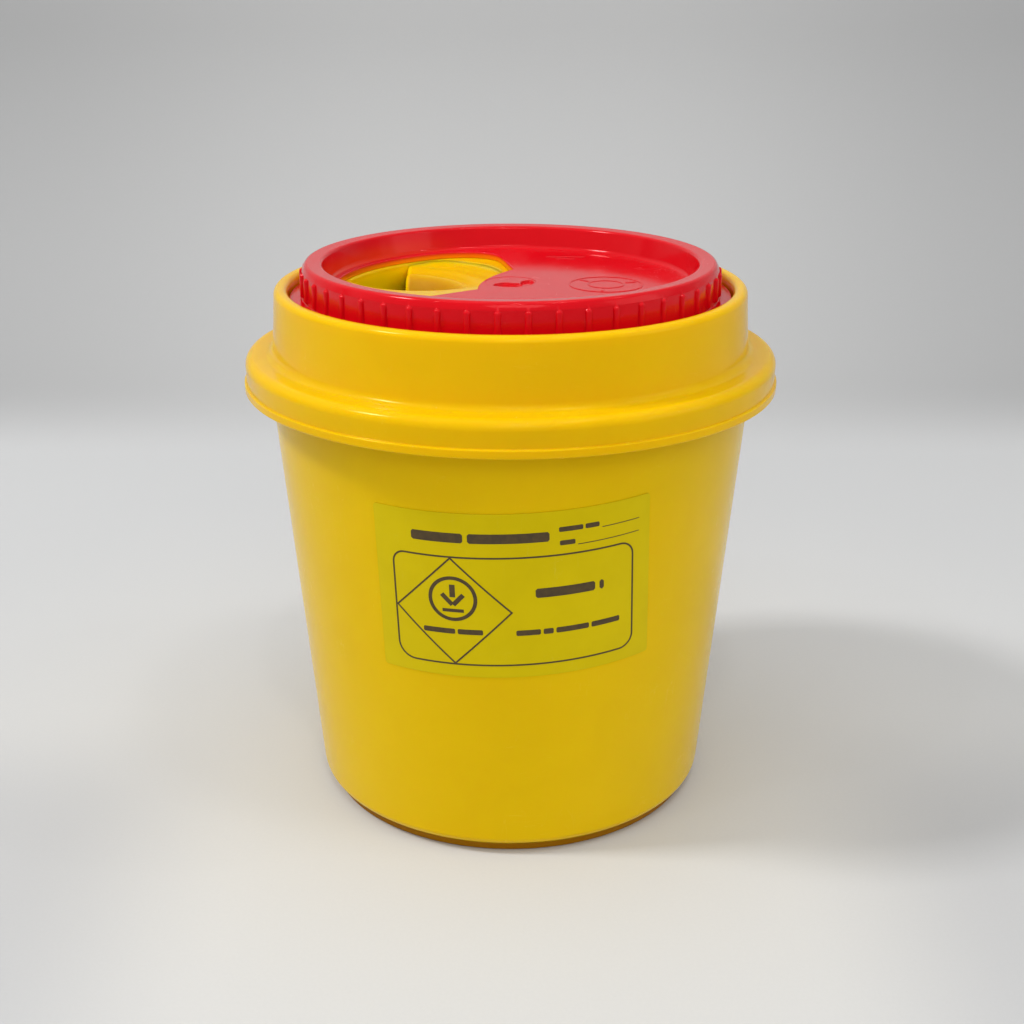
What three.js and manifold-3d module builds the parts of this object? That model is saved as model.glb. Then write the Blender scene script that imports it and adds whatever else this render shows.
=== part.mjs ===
// A round three-litre sharps container: a tapered tub, a press-on lid with a raised collar,
// and a rotary closure dial that turns on a centre pin to open and shut the lid's drop chute.
// Millimetres, +Z up, origin at the centre of the base.

import * as THREE from "three";
import { mergeVertices } from "three/addons/utils/BufferGeometryUtils.js";
import Module from "manifold-3d";

const wasm = await Module();
wasm.setup();

// ---- driving dimensions ----
const SEGMENTS = 72;
const CURVE_STEPS = 2;
const OUTLINE_STEPS = 14;
const GAP = 0.3;

// tub: a cone with a shallow foot ring and a turned-down brim
const TUB_BASE_Z = 2;
const TUB_BASE_RADIUS = 72.75;
const TUB_FLARE = 17.13 / 200;
const TUB_WALL = 1.9;
const TUB_FLOOR_Z = 5.2;
const TUB_CORNER = 4.5;
const FOOT_OUTER_RADIUS = 68;
const FOOT_INNER_RADIUS = 64.5;
const FOOT_RECESS_Z = 2.8;
const BRIM_TOP_Z = 164;
const BRIM_RADIUS = 91.4;
const BRIM_EDGE = 2;
const BRIM_DROP = 5.5;

// lid: skirt, shoulder, collar, channel for the dial, and a raised plateau
const SKIRT_BASE_Z = 154.4;
const BEAD_RADIUS = 95;
const BEAD_HEIGHT = 3;
const SKIRT_RADIUS = 94.5;
const SKIRT_INNER_RADIUS = 91.9;
const SHOULDER_Z = 166.5;
const COLLAR_FOOT_RADIUS = 84.6;
const COLLAR_TOP_RADIUS = 83.2;
const COLLAR_INNER_RADIUS = 78.3;
const COLLAR_TOP_Z = 189.6;
const LID_WALL = 2.2;
const PLUG_LIP_RADIUS = 83.9;
const PLUG_LIP_BASE_Z = 157.5;
const CHANNEL_Z = 183.4;
const PLATEAU_RADIUS = 64;
const PLATEAU_Z = 186.8;

// rotary closure dial
const FLANGE_RADIUS = 77.9;
const FLANGE_Z = 186;
const FLANGE_THICKNESS = 2.2;
const DIAL_WALL_RADIUS = 73.2;
const RIM_TOP_Z = 198;
const RIM_OUTER_RADIUS = 71.8;
const RIM_INNER_RADIUS = 66.3;
const DISH_RADIUS = 65;
const DISH_Z = 189.3;
const DISH_THICKNESS = 2.2;
const DIAL_SKIN = 2;
const RIB_COUNT = 48;
const RIB_WIDTH = 2;
const RIB_PROUD = 0.9;
const RIB_TOP_Z = 195;
const RIB_PHASE = THREE.MathUtils.degToRad(0.6);

// the window in the dial: a sector between two slanted ends, with its inner edge by the hub
const WINDOW_DIRECTION = THREE.MathUtils.degToRad(158.5);
const WINDOW_RADIUS = 61.5;
const WINDOW_INNER_EDGE = 8.5;
const WINDOW_INNER_HALF = 22.5;
const WINDOW_BULGE = 2.4;
const WINDOW_END_ANGLE = THREE.MathUtils.degToRad(52.5);
const WINDOW_ARC_HALF_ANGLE = THREE.MathUtils.degToRad(46);
const WINDOW_END_STRAIGHT = 26;

// the drop chute in the lid: a round hole kept inside CHUTE_LIMIT_RADIUS of the axis, walled below,
// with a shelf inside that slopes in from one side and leaves the other side open
const CHUTE_DIRECTION = THREE.MathUtils.degToRad(141);
const CHUTE_OFFSET = 41.2;
const CHUTE_RADIUS = 28.5;
const CHUTE_LIMIT_RADIUS = 60.5;
const CHUTE_WALL = 1.8;
const CHUTE_BASE_Z = 168;
const RAMP_DIRECTION = THREE.MathUtils.degToRad(243);
const RAMP_TOP_Z = 185.6;
const RAMP_RUN = 34;
const RAMP_FALL = THREE.MathUtils.degToRad(19);
const RAMP_THICKNESS = 2;
const RAMP_LEFT_X = -39;

// centre pin: a wide slotted head in the dish, a shaft, and a barb below the plateau
const PIN_HEAD_RADIUS = 9;
const PIN_HEAD_RECESS = 0.1;
const PIN_SEAT_DEPTH = 1.3;
const PIN_SHAFT_RADIUS = 5;
const PIN_BARB_RADIUS = 6.6;
const PIN_TIP_RADIUS = 4.2;
const PIN_TIP_Z = 176;
const PIN_SLOT_WIDTH = 1.2;
const PIN_SLOT_DEPTH = 0.5;
const PIN_SLOT_LENGTH = 15;

// label: a flat sheet wrapped on to the tub's cone, a little tilted
const LABEL_WIDTH = 94;
const LABEL_HEIGHT = 60;
const LABEL_CENTRE_Z = 103;
const LABEL_ARC_OFFSET = 1.35;
const LABEL_TILT = THREE.MathUtils.degToRad(2);
const LABEL_THICKNESS = 0.4;
const LABEL_COLUMNS = 16;

const YELLOW_TUB = { color: 0xd7b307, roughness: 0.35, metalness: 0 };
const YELLOW_LID = { color: 0xe8bf05, roughness: 0.3, metalness: 0 };
const RED_DIAL = { color: 0xcc0a14, roughness: 0.28, metalness: 0 };
const LABEL_PAPER = { color: 0xc4ae02, roughness: 0.55, metalness: 0 };

// ---- helpers ----

// Corners are [x, y] or [x, y, fillet]; each fillet becomes a short curve.
function filletedPoints(corners) {
  const points = corners.map(([x, y]) => new THREE.Vector2(x, y));
  const path = new THREE.Path();
  corners.forEach(([x, y, fillet = 0], i) => {
    const here = points[i];
    const before = points[(i + corners.length - 1) % corners.length];
    const after = points[(i + 1) % corners.length];
    const enter = here.clone().add(before.clone().sub(here).setLength(fillet));
    const leave = here.clone().add(after.clone().sub(here).setLength(fillet));
    if (i === 0) path.moveTo(enter.x, enter.y);
    else path.lineTo(enter.x, enter.y);
    if (fillet > 0) path.quadraticCurveTo(x, y, leave.x, leave.y);
  });
  return path.getPoints(CURVE_STEPS);
}

// A closed mesh as a manifold solid: shared vertices merged, collapsed triangles dropped, faces outward.
function solid(geometry) {
  const bare = geometry.clone();
  bare.deleteAttribute("normal");
  bare.deleteAttribute("uv");
  const merged = mergeVertices(bare, 1e-4);
  const position = merged.attributes.position.array;
  const corner = (i) => new THREE.Vector3().fromArray(position, 3 * i);
  const kept = [];
  let volume = 0;
  for (let i = 0; i < merged.index.count; i += 3) {
    const [a, b, c] = merged.index.array.slice(i, i + 3);
    if (a === b || b === c || c === a) continue;
    kept.push([a, b, c]);
    volume += corner(a).dot(corner(b).cross(corner(c)));
  }
  const triVerts = new Uint32Array(kept.flatMap(([a, b, c]) => (volume > 0 ? [a, b, c] : [a, c, b])));
  return new wasm.Manifold(new wasm.Mesh({ numProp: 3, vertProperties: new Float32Array(position), triVerts }));
}

function turned(points) {
  return solid(new THREE.LatheGeometry(points, SEGMENTS).rotateX(Math.PI / 2));
}

function turnedRing(corners) {
  const points = filletedPoints(corners);
  return turned([...points, points[0]]);
}

function prism(shape, fromZ, toZ) {
  const options = { depth: toZ - fromZ, bevelEnabled: false, curveSegments: OUTLINE_STEPS };
  return solid(new THREE.ExtrudeGeometry(shape, options).translate(0, 0, fromZ));
}

function part(name, body, look) {
  const mesh = body.getMesh();
  const geometry = new THREE.BufferGeometry();
  geometry.setAttribute("position", new THREE.BufferAttribute(new Float32Array(mesh.vertProperties), 3));
  geometry.setIndex(new THREE.BufferAttribute(new Uint32Array(mesh.triVerts), 1));
  geometry.computeVertexNormals();
  const built = new THREE.Mesh(geometry, new THREE.MeshStandardMaterial(look));
  built.name = name;
  return built;
}

function tubRadius(z) {
  return TUB_BASE_RADIUS + TUB_FLARE * (z - TUB_BASE_Z);
}

// The window's outline, symmetric about WINDOW_DIRECTION; u runs out from the axis and w across.
function windowShape() {
  const along = new THREE.Vector2(Math.cos(WINDOW_END_ANGLE), Math.sin(WINDOW_END_ANGLE));
  const inner = new THREE.Vector2(WINDOW_INNER_EDGE, WINDOW_INNER_HALF);
  const halfStep = inner.dot(along);
  const reach = Math.sqrt(halfStep ** 2 + WINDOW_RADIUS ** 2 - inner.lengthSq()) - halfStep;
  const corner = inner.clone().addScaledVector(along, reach);
  const straight = inner.clone().addScaledVector(along, WINDOW_END_STRAIGHT);
  const arcHalf = WINDOW_ARC_HALF_ANGLE;
  const arcEnd = new THREE.Vector2(Math.cos(arcHalf), Math.sin(arcHalf)).multiplyScalar(WINDOW_RADIUS);
  const place = (point, side) => {
    return new THREE.Vector2(point.x, side * point.y).rotateAround(new THREE.Vector2(), WINDOW_DIRECTION);
  };
  const start = place(inner, -1);
  const bulge = place(new THREE.Vector2(WINDOW_INNER_EDGE + WINDOW_BULGE, 0), 1);
  const corners = [place(corner, -1), place(corner, 1)];
  const straights = [place(straight, -1), place(straight, 1)];
  const arcStart = place(arcEnd, -1);
  const farInner = place(inner, 1);
  const shape = new THREE.Shape();
  shape.moveTo(start.x, start.y);
  shape.lineTo(straights[0].x, straights[0].y);
  shape.quadraticCurveTo(corners[0].x, corners[0].y, arcStart.x, arcStart.y);
  shape.absarc(0, 0, WINDOW_RADIUS, WINDOW_DIRECTION - arcHalf, WINDOW_DIRECTION + arcHalf, false);
  shape.quadraticCurveTo(corners[1].x, corners[1].y, straights[1].x, straights[1].y);
  shape.lineTo(farInner.x, farInner.y);
  shape.quadraticCurveTo(bulge.x, bulge.y, start.x, start.y);
  return shape;
}

// ---- sub-parts ----

function containerBody() {
  const innerRadius = (z) => tubRadius(z) - TUB_WALL;
  const underBrim = BRIM_TOP_Z - BRIM_EDGE;
  const profile = filletedPoints([
    [0, FOOT_RECESS_Z],
    [FOOT_INNER_RADIUS, FOOT_RECESS_Z],
    [FOOT_INNER_RADIUS + 0.6, 0],
    [FOOT_OUTER_RADIUS - 0.2, 0],
    [FOOT_OUTER_RADIUS, TUB_BASE_Z],
    [tubRadius(TUB_BASE_Z), TUB_BASE_Z, TUB_CORNER],
    [tubRadius(underBrim), underBrim, 1],
    [BRIM_RADIUS - BRIM_EDGE, underBrim],
    [BRIM_RADIUS - BRIM_EDGE, BRIM_TOP_Z - BRIM_DROP],
    [BRIM_RADIUS, BRIM_TOP_Z - BRIM_DROP],
    [BRIM_RADIUS, BRIM_TOP_Z, 1.2],
    [innerRadius(BRIM_TOP_Z), BRIM_TOP_Z],
    [innerRadius(TUB_FLOOR_Z), TUB_FLOOR_Z, TUB_CORNER],
    [0, TUB_FLOOR_Z],
  ]);
  return part("container_body", turned(profile), YELLOW_TUB);
}

function lidShell() {
  const beadTop = SKIRT_BASE_Z + BEAD_HEIGHT;
  const shoulderUnder = BRIM_TOP_Z + GAP;
  const channelUnder = CHANNEL_Z - LID_WALL;
  const plateauUnder = PLATEAU_Z - LID_WALL;
  return turnedRing([
    [PIN_SHAFT_RADIUS + GAP, plateauUnder],
    [PIN_SHAFT_RADIUS + GAP, PLATEAU_Z],
    [PLATEAU_RADIUS, PLATEAU_Z, 1],
    [PLATEAU_RADIUS + 0.4, CHANNEL_Z],
    [COLLAR_INNER_RADIUS, CHANNEL_Z],
    [COLLAR_INNER_RADIUS, COLLAR_TOP_Z, 2.2],
    [COLLAR_TOP_RADIUS, COLLAR_TOP_Z, 2.2],
    [COLLAR_FOOT_RADIUS, SHOULDER_Z, 2.5],
    [SKIRT_RADIUS, SHOULDER_Z, 2.2],
    [SKIRT_RADIUS - 0.3, beadTop],
    [BEAD_RADIUS, beadTop],
    [BEAD_RADIUS, SKIRT_BASE_Z],
    [SKIRT_INNER_RADIUS, SKIRT_BASE_Z],
    [SKIRT_INNER_RADIUS, shoulderUnder],
    [PLUG_LIP_RADIUS, shoulderUnder],
    [PLUG_LIP_RADIUS - 0.4, PLUG_LIP_BASE_Z],
    [PLUG_LIP_RADIUS - LID_WALL, PLUG_LIP_BASE_Z],
    [COLLAR_TOP_RADIUS - LID_WALL, channelUnder, 2],
    [PLATEAU_RADIUS - 1.6, channelUnder],
    [PLATEAU_RADIUS - 2, plateauUnder],
  ]);
}

function disc(centre, radius, fromZ, toZ) {
  const shape = new THREE.Shape();
  shape.absarc(centre.x, centre.y, radius, 0, Math.PI, false);
  shape.absarc(centre.x, centre.y, radius, Math.PI, 2 * Math.PI, false);
  return prism(shape, fromZ, toZ);
}

// The chute as a solid column, grown by a margin on every side.
function chuteColumn(margin, fromZ, toZ) {
  const centre = new THREE.Vector2(Math.cos(CHUTE_DIRECTION), Math.sin(CHUTE_DIRECTION));
  centre.multiplyScalar(CHUTE_OFFSET);
  const round = disc(centre, CHUTE_RADIUS + margin, fromZ, toZ);
  const limit = disc(new THREE.Vector2(), CHUTE_LIMIT_RADIUS + margin, fromZ, toZ);
  return round.intersect(limit);
}

// A shelf that slopes in from the back of the chute and stops short of its left side.
function chuteRamp() {
  const width = 4 * CHUTE_RADIUS;
  const shelf = new THREE.BoxGeometry(RAMP_RUN, width, RAMP_THICKNESS);
  shelf.translate(RAMP_RUN / 2, 0, -RAMP_THICKNESS / 2);
  shelf.rotateY(RAMP_FALL);
  shelf.rotateZ(RAMP_DIRECTION);
  const startX = CHUTE_OFFSET * Math.cos(CHUTE_DIRECTION) - CHUTE_RADIUS * Math.cos(RAMP_DIRECTION);
  const startY = CHUTE_OFFSET * Math.sin(CHUTE_DIRECTION) - CHUTE_RADIUS * Math.sin(RAMP_DIRECTION);
  shelf.translate(startX, startY, RAMP_TOP_Z);
  const rightPart = new THREE.BoxGeometry(width, width, width);
  rightPart.translate(RAMP_LEFT_X + width / 2, startY, RAMP_TOP_Z);
  const insideWall = chuteColumn(CHUTE_WALL / 2, CHUTE_BASE_Z, PLATEAU_Z - 1);
  return solid(shelf).intersect(solid(rightPart)).intersect(insideWall);
}

function lid() {
  const walled = lidShell().add(chuteColumn(CHUTE_WALL, CHUTE_BASE_Z, PLATEAU_Z - 1));
  const open = walled.subtract(chuteColumn(0, CHUTE_BASE_Z - 1, PLATEAU_Z + 1));
  return part("lid", open.add(chuteRamp()), YELLOW_LID);
}

function dialShell() {
  const flangeUnder = FLANGE_Z - FLANGE_THICKNESS;
  const dishUnder = DISH_Z - DISH_THICKNESS;
  const rimUnder = RIM_TOP_Z - DIAL_SKIN;
  return turnedRing([
    [PIN_SHAFT_RADIUS + GAP, dishUnder],
    [PIN_SHAFT_RADIUS + GAP, DISH_Z - PIN_SEAT_DEPTH],
    [PIN_HEAD_RADIUS + GAP, DISH_Z - PIN_SEAT_DEPTH],
    [PIN_HEAD_RADIUS + GAP, DISH_Z],
    [DISH_RADIUS, DISH_Z, 1],
    [RIM_INNER_RADIUS, RIM_TOP_Z, 1.4],
    [RIM_OUTER_RADIUS, RIM_TOP_Z, 1.4],
    [DIAL_WALL_RADIUS, RIB_TOP_Z],
    [DIAL_WALL_RADIUS, FLANGE_Z],
    [FLANGE_RADIUS, FLANGE_Z],
    [FLANGE_RADIUS, flangeUnder],
    [DIAL_WALL_RADIUS - DIAL_SKIN, flangeUnder],
    [DIAL_WALL_RADIUS - DIAL_SKIN, RIB_TOP_Z - 1],
    [RIM_OUTER_RADIUS - DIAL_SKIN, rimUnder],
    [RIM_INNER_RADIUS + DIAL_SKIN, rimUnder],
    [DISH_RADIUS + DIAL_SKIN, dishUnder],
  ]);
}

// One grip rib: an upright bar with a peaked top, half sunk in the wall.
function gripRib(angle) {
  const height = RIB_TOP_Z - FLANGE_Z + 0.5;
  const outline = new THREE.Shape();
  outline.moveTo(-RIB_WIDTH / 2, 0);
  outline.lineTo(RIB_WIDTH / 2, 0);
  outline.lineTo(RIB_WIDTH / 2, height - RIB_WIDTH / 2);
  outline.lineTo(0, height);
  outline.lineTo(-RIB_WIDTH / 2, height - RIB_WIDTH / 2);
  const bar = new THREE.ExtrudeGeometry(outline, { depth: 1 + RIB_PROUD, bevelEnabled: false });
  bar.rotateX(Math.PI / 2);
  bar.translate(0, -DIAL_WALL_RADIUS + 1, FLANGE_Z - 0.5);
  bar.rotateZ(angle);
  return solid(bar);
}

function closureDial() {
  let body = dialShell();
  for (let i = 0; i < RIB_COUNT; i += 1) {
    body = body.add(gripRib(RIB_PHASE + ((i + 0.5) * 2 * Math.PI) / RIB_COUNT));
  }
  body = body.subtract(prism(windowShape(), DISH_Z - DISH_THICKNESS - 1, DISH_Z + 1));
  return part("closure_dial", body, RED_DIAL);
}

function pivotPin() {
  const headTop = DISH_Z - PIN_HEAD_RECESS;
  const headUnder = DISH_Z - PIN_SEAT_DEPTH + GAP;
  const barbTop = PLATEAU_Z - LID_WALL - GAP;
  const profile = filletedPoints([
    [0, PIN_TIP_Z],
    [PIN_TIP_RADIUS, PIN_TIP_Z],
    [PIN_BARB_RADIUS, barbTop - 2],
    [PIN_BARB_RADIUS, barbTop],
    [PIN_SHAFT_RADIUS, barbTop],
    [PIN_SHAFT_RADIUS, headUnder],
    [PIN_HEAD_RADIUS, headUnder],
    [PIN_HEAD_RADIUS, headTop],
    [0, headTop],
  ]);
  const slot = new THREE.BoxGeometry(PIN_SLOT_LENGTH, PIN_SLOT_WIDTH, 2 * PIN_SLOT_DEPTH).translate(0, 0, headTop);
  return part("pivot_pin", turned(profile).subtract(solid(slot)), RED_DIAL);
}

// A point of the flat label, moved on to the tub's cone; lift is the distance off the wall.
function onCone(across, up, lift) {
  const x = LABEL_ARC_OFFSET + across * Math.cos(LABEL_TILT) - up * Math.sin(LABEL_TILT);
  const y = across * Math.sin(LABEL_TILT) + up * Math.cos(LABEL_TILT);
  const sinHalf = TUB_FLARE / Math.hypot(1, TUB_FLARE);
  const cosHalf = 1 / Math.hypot(1, TUB_FLARE);
  const slant = tubRadius(LABEL_CENTRE_Z) / sinHalf + y;
  const distance = Math.hypot(slant, x);
  const angle = Math.atan2(x, slant) / sinHalf;
  const radius = distance * sinHalf + lift * cosHalf;
  const z = LABEL_CENTRE_Z + (distance - tubRadius(LABEL_CENTRE_Z) / sinHalf) * cosHalf - lift * sinHalf;
  return new THREE.Vector3(radius * Math.sin(angle), -radius * Math.cos(angle), z);
}

function label() {
  const sheet = new THREE.BoxGeometry(LABEL_WIDTH, LABEL_HEIGHT, LABEL_THICKNESS, LABEL_COLUMNS, 2, 1);
  const position = sheet.attributes.position;
  const lift = GAP + LABEL_THICKNESS / 2;
  for (let i = 0; i < position.count; i += 1) {
    const placed = onCone(position.getX(i), position.getY(i), lift + position.getZ(i));
    position.setXYZ(i, placed.x, placed.y, placed.z);
  }
  return part("label", solid(sheet), LABEL_PAPER);
}

const container = new THREE.Group();
container.add(containerBody(), label(), lid(), closureDial(), pivotPin());

export default container;
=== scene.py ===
"""A round three-litre sharps container: tapered tub, press-on lid, closure dial, hub pin and label."""
import math

import bmesh
import bpy
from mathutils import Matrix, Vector


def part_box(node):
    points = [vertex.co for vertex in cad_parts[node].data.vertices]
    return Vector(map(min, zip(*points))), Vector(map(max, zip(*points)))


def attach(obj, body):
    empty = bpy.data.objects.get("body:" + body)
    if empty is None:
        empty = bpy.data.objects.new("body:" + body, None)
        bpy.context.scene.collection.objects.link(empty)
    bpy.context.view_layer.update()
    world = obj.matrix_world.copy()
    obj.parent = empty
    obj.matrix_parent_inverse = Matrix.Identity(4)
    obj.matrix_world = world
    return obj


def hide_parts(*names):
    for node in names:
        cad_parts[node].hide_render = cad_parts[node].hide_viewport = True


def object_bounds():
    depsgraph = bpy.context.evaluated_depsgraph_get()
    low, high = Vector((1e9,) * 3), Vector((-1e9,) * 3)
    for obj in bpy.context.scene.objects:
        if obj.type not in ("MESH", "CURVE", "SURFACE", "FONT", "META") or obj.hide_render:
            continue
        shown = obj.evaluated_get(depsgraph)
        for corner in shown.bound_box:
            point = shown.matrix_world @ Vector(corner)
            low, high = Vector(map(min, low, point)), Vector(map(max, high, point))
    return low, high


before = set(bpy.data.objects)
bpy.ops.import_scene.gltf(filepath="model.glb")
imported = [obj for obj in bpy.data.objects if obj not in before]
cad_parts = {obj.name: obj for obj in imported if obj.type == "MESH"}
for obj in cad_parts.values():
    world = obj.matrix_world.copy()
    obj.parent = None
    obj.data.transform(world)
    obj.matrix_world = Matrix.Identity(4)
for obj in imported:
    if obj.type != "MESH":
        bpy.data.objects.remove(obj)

CAD_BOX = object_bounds()
MM = 0.001


def box_mm(node):
    """Lowest and highest corner of a frame node, in millimetres."""
    low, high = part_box(node)
    return low / MM, high / MM


TUB_HIGH = box_mm("container_body")[1]
LID_LOW, LID_HIGH = box_mm("lid")
DIAL_LOW, DIAL_HIGH = box_mm("closure_dial")
PIN_LOW, PIN_HIGH = box_mm("pivot_pin")

# ---- camera ----

CAMERA_BACK = 0.5204
CAMERA_HEIGHT = 0.297
CAMERA_PITCH = 20.53
CAMERA_LENS = 52.07
CAMERA_SHIFT_X = 0.0014

camera_data = bpy.data.cameras.new("studio_camera")
camera_data.lens = CAMERA_LENS
camera_data.sensor_width = 36
camera_data.shift_x = CAMERA_SHIFT_X
camera_data.clip_start = 0.01
camera = bpy.data.objects.new("studio_camera", camera_data)
camera.location = (0, -CAMERA_BACK, CAMERA_HEIGHT)
camera.rotation_euler = (math.radians(90 - CAMERA_PITCH), 0, 0)
bpy.context.scene.collection.objects.link(camera)
bpy.context.scene.camera = camera

# ---- driving sizes, in millimetres ----

ROUND_SEGMENTS = 240
ARC_STEP = math.radians(9)
SHARP_ANGLE = math.radians(50)
LEAD = 0.15

TUB_BASE_Z = 2.0
TUB_BASE_RADIUS = 72.75
TUB_FLARE = 17.13 / 200
TUB_WALL = 1.9
TUB_FLOOR_Z = 5.2
TUB_CORNER = 4.2
TUB_CORNER_Z = 3.2
FOOT_OUTER_RADIUS = 69.8
FOOT_INNER_RADIUS = 66.0
BRIM_TOP = TUB_HIGH.z
BRIM_RADIUS = TUB_HIGH.x
BRIM_EDGE = 2.0
BRIM_DROP = 5.5

SKIRT_BASE = LID_LOW.z
BEAD_RADIUS = LID_HIGH.x
COLLAR_TOP = LID_HIGH.z
SHOULDER_Z = 166.5
SHOULDER_RADIUS = 94.5
SKIRT_INNER_RADIUS = 91.9
COLLAR_TOP_RADIUS = 83.2
COLLAR_BASE_RADIUS = 84.6
CHANNEL_RADIUS = 78.3
PLUG_RADIUS = 83.9
PLUG_BASE = 157.5
CHANNEL_Z = 183.4
PLATEAU_Z = 186.8
PLATEAU_RADIUS = 64.0
LID_WALL = 2.2
SHAFT_HOLE = 5.3

CHUTE_ANGLE = math.radians(141)
CHUTE_OFFSET = 41.2
CHUTE_RADIUS = 28.5
CHUTE_CENTRE = (CHUTE_OFFSET * math.cos(CHUTE_ANGLE), CHUTE_OFFSET * math.sin(CHUTE_ANGLE))
CHUTE_LIMIT = 60.5
CHUTE_WALL = 1.3
CHUTE_BASE = 168.0
RAMP_TOP = 184.6
RAMP_FOCUS = (-45.0, 8.0)
RAMP_EDGE = 29.5
RAMP_ROLL = 9.5
RAMP_LEFT_X = -39.6
RAMP_THICKNESS = 2.0
RAMP_RIDGES = [(38.0, 0.3), (45.5, 0.2)]  # distance from the focus, rise
RAMP_RIDGE_WIDTH = 3.0
RAMP_COVE_RISE = 1.4
RAMP_COVE_WIDTH = 1.6
RAMP_SIDE_ROUND = 2.0
RAMP_EMBED = 0.6

DISH_Z = 189.3
DISH_THICKNESS = 2.44
DISH_RADIUS = 64.3
RIM_TOP = DIAL_HIGH.z
FLANGE_RADIUS = DIAL_HIGH.x
FLANGE_UNDER = DIAL_LOW.z
FLANGE_Z = 186.0
DIAL_WALL = 73.2
RIB_COUNT = 48
RIB_PHASE = math.radians(0.6)
RIB_PROUD = 1.0
RIB_HALF_WIDTH = 1.15
RIB_TOP = 195.3
WINDOW_ANGLE = math.radians(158.5)
WINDOW_RADIUS = 61.5
WINDOW_NEAR_CORNER = (6.3, 15.4)
WINDOW_NEAR_END = math.radians(57)
WINDOW_FAR_CORNER = (7.6, -22)
WINDOW_FAR_END = math.radians(57)
WINDOW_BULGE_POINT = (9.9, -1.5)
WINDOW_STRAIGHT = 22.0
WINDOW_ARC_ANGLE = math.radians(44)
HEAD_RADIUS = PIN_HIGH.x
HEAD_TOP = PIN_HIGH.z
HEAD_SEAT_DEPTH = 1.3
SHAFT_RADIUS = 5.0
BARB_RADIUS = 6.6
SEAT_CLEARANCE = 0.03

LABEL_WIDTH = 94.0
LABEL_HEIGHT = 60.0
LABEL_CENTRE_Z = 103.0
LABEL_ARC_OFFSET = 1.35
LABEL_TILT = math.radians(2)
LABEL_LIFT = 0.05
LABEL_THICKNESS = 0.16
INK_THICKNESS = 0.04
INK_BASE = LABEL_LIFT + LABEL_THICKNESS + 0.01
INK_STEP = 1.5

# ---- outlines ----


def corner_arc(before, here, after, radius):
    """A round corner of the given radius, with a short straight lead on each side."""
    to_before = (before - here).normalized()
    to_after = (after - here).normalized()
    half = to_before.angle(to_after) / 2
    reach = radius / math.tan(half)
    centre = here + (to_before + to_after).normalized() * (radius / math.sin(half))
    start = here + to_before * reach - centre
    sweep = math.pi - 2 * half
    turn = 1 if to_before.x * to_after.y - to_before.y * to_after.x < 0 else -1
    steps = max(3, math.ceil(sweep / ARC_STEP))
    points = [here + to_before * (reach + LEAD)]
    for i in range(steps + 1):
        angle = turn * sweep * i / steps
        cos_a, sin_a = math.cos(angle), math.sin(angle)
        spun = Vector((start.x * cos_a - start.y * sin_a, start.x * sin_a + start.y * cos_a))
        points.append(centre + spun)
    points.append(here + to_after * (reach + LEAD))
    return points


def rounded(corners, closed):
    """An outline through corners [x, y] or [x, y, radius], each radius made a true arc."""
    count = len(corners)
    points = []
    for i, corner in enumerate(corners):
        here = Vector(corner[:2])
        if len(corner) < 3 or (not closed and i in (0, count - 1)):
            points.append(here)
            continue
        before = Vector(corners[i - 1][:2])
        after = Vector(corners[(i + 1) % count][:2])
        points.extend(corner_arc(before, here, after, corner[2]))
    return points


def offset_loop(points, distance):
    """A closed outline moved outward by a distance, counter-clockwise outlines growing."""
    moved = []
    count = len(points)
    for i, here in enumerate(points):
        ahead = (points[(i + 1) % count] - here).normalized()
        behind = (here - points[i - 1]).normalized()
        normal = Vector((ahead.y + behind.y, -ahead.x - behind.x)).normalized()
        stretch = max(0.5, normal.dot(Vector((ahead.y, -ahead.x))))
        moved.append(here + normal * (distance / stretch))
    return moved


def even_angles(count):
    return [2 * math.pi * i / count for i in range(count)]


def circle(radius, count, centre=(0, 0)):
    points = []
    for angle in even_angles(count):
        points.append(Vector((centre[0] + radius * math.cos(angle), centre[1] + radius * math.sin(angle))))
    return points


def spin(point, angle):
    cos_a, sin_a = math.cos(angle), math.sin(angle)
    return Vector((point.x * cos_a - point.y * sin_a, point.x * sin_a + point.y * cos_a))


def window_side(inner, end_angle, side):
    """One side of the dial window, from its inner corner round to the middle of its outer arc."""
    along = Vector((math.cos(end_angle), side * math.sin(end_angle)))
    half_step = inner.dot(along)
    reach = math.sqrt(half_step ** 2 + WINDOW_RADIUS ** 2 - inner.length_squared) - half_step
    outer = inner + along * reach
    bend = inner + along * WINDOW_STRAIGHT
    arc_from = WINDOW_ARC_ANGLE
    arc_start = Vector((math.cos(arc_from), side * math.sin(arc_from))) * WINDOW_RADIUS
    points = corner_arc(Vector(WINDOW_BULGE_POINT), inner, outer, 1.2)[1:-1]
    points.append(bend)
    for i in range(1, 16):
        t = i / 16
        points.append(bend * (1 - t) ** 2 + outer * (2 * t * (1 - t)) + arc_start * t ** 2)
    for i in range(23):
        angle = side * arc_from * (1 - i / 23)
        points.append(Vector((math.cos(angle), math.sin(angle))) * WINDOW_RADIUS)
    return points


def window_outline():
    """The dial window: x runs out from the axis and y across it, before it is turned into place."""
    near = window_side(Vector(WINDOW_NEAR_CORNER), WINDOW_NEAR_END, 1)
    far = window_side(Vector(WINDOW_FAR_CORNER), WINDOW_FAR_END, -1)
    middle = [Vector((WINDOW_RADIUS, 0))]
    outline = near + middle + list(reversed(far))
    start, top, end = Vector(far[0]), Vector(WINDOW_BULGE_POINT), Vector(near[0])
    pull = top * 2 - (start + end) / 2
    for i in range(1, 30):
        t = i / 30
        outline.append(start * (1 - t) ** 2 + pull * (2 * t * (1 - t)) + end * t ** 2)
    placed = [spin(p, WINDOW_ANGLE) for p in outline]
    placed.reverse()
    return placed


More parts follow.
